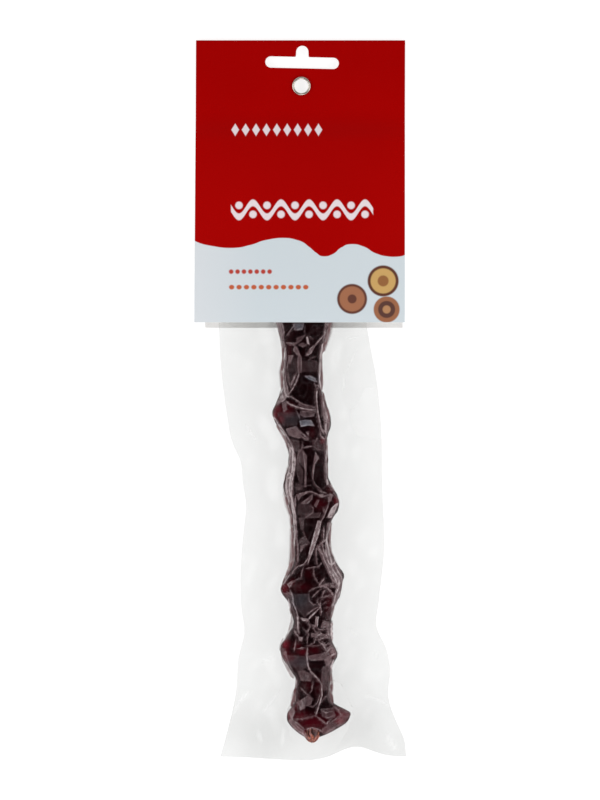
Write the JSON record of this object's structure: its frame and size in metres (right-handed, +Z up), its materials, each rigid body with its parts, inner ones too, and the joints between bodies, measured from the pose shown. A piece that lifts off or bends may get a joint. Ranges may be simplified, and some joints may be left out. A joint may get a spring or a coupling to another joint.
{
  "type": "churchkhela in clear vacuum pack",
  "caption": "Walnuts strung in a dark fruit-must coat, sealed in clear drawn-on film under a folded card header with a peg slot and an eyelet.",
  "frame": {"origin": "on the surface the pack lies on, under the middle of its outline", "axes": "+X to the right of the printed side, +Y along the pack towards the folded edge with the peg slot, +Z up through the printed side"},
  "size_m": [0.0913, 0.3109, 0.0252],
  "materials": {
    "must_coat": "satin, near black with deep red in thin places",
    "walnut": "satin, stained orange brown",
    "film": "clear, glossy, creased",
    "card": "coated, printed red over white",
    "eyelet_metal": "bright nickel plate"
  },
  "bodies": {
    "root": {"churchkhela": "must_coat", "walnut_kernel": "walnut", "film_bag": "film", "header_card": "card", "eyelet": "eyelet_metal"}
  },
  "joints": []
}
